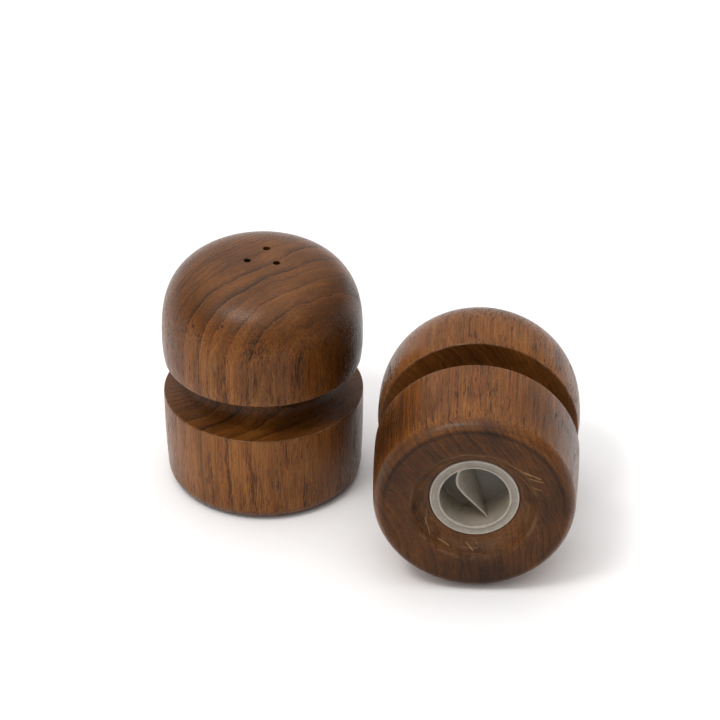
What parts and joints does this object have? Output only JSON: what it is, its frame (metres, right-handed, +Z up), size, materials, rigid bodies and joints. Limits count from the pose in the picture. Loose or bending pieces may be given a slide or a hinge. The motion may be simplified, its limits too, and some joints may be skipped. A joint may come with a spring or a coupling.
{
  "type": "salt and pepper shakers",
  "caption": "Turned wooden salt and pepper shakers with domed tops, deep finger grooves and push-in plastic stoppers in the foot; the salt stands and the pepper lies on its side.",
  "frame": {"origin": "on the ground, under the middle of the pair's bounding box", "axes": "+Z up; the lying pepper shaker's axis runs along +Y with its foot facing -Y; the salt shaker stands on the -X side"},
  "size_m": [0.1042, 0.076, 0.0623],
  "materials": {
    "teak": "oiled, satin",
    "stopper_plastic": "translucent, satin"
  },
  "bodies": {
    "pepper_shaker": {"pepper_body": "teak"},
    "pepper_stopper": {"pepper_stopper": "stopper_plastic"},
    "salt_shaker": {"salt_body": "teak"},
    "salt_stopper": {"salt_stopper": "stopper_plastic"}
  },
  "joints": [
    {"name": "salt_lift", "type": "slide", "parent": "pepper_shaker", "child": "salt_shaker", "axis": [0, 0, 1], "range_m": [0, 0.12]},
    {"name": "salt_stopper_pull", "type": "slide", "parent": "salt_shaker", "child": "salt_stopper", "axis": [0, 0, -1], "range_m": [0, 0.03]},
    {"name": "pepper_stopper_pull", "type": "slide", "parent": "pepper_shaker", "child": "pepper_stopper", "axis": [0, -1, 0], "range_m": [0, 0.03]}
  ]
}
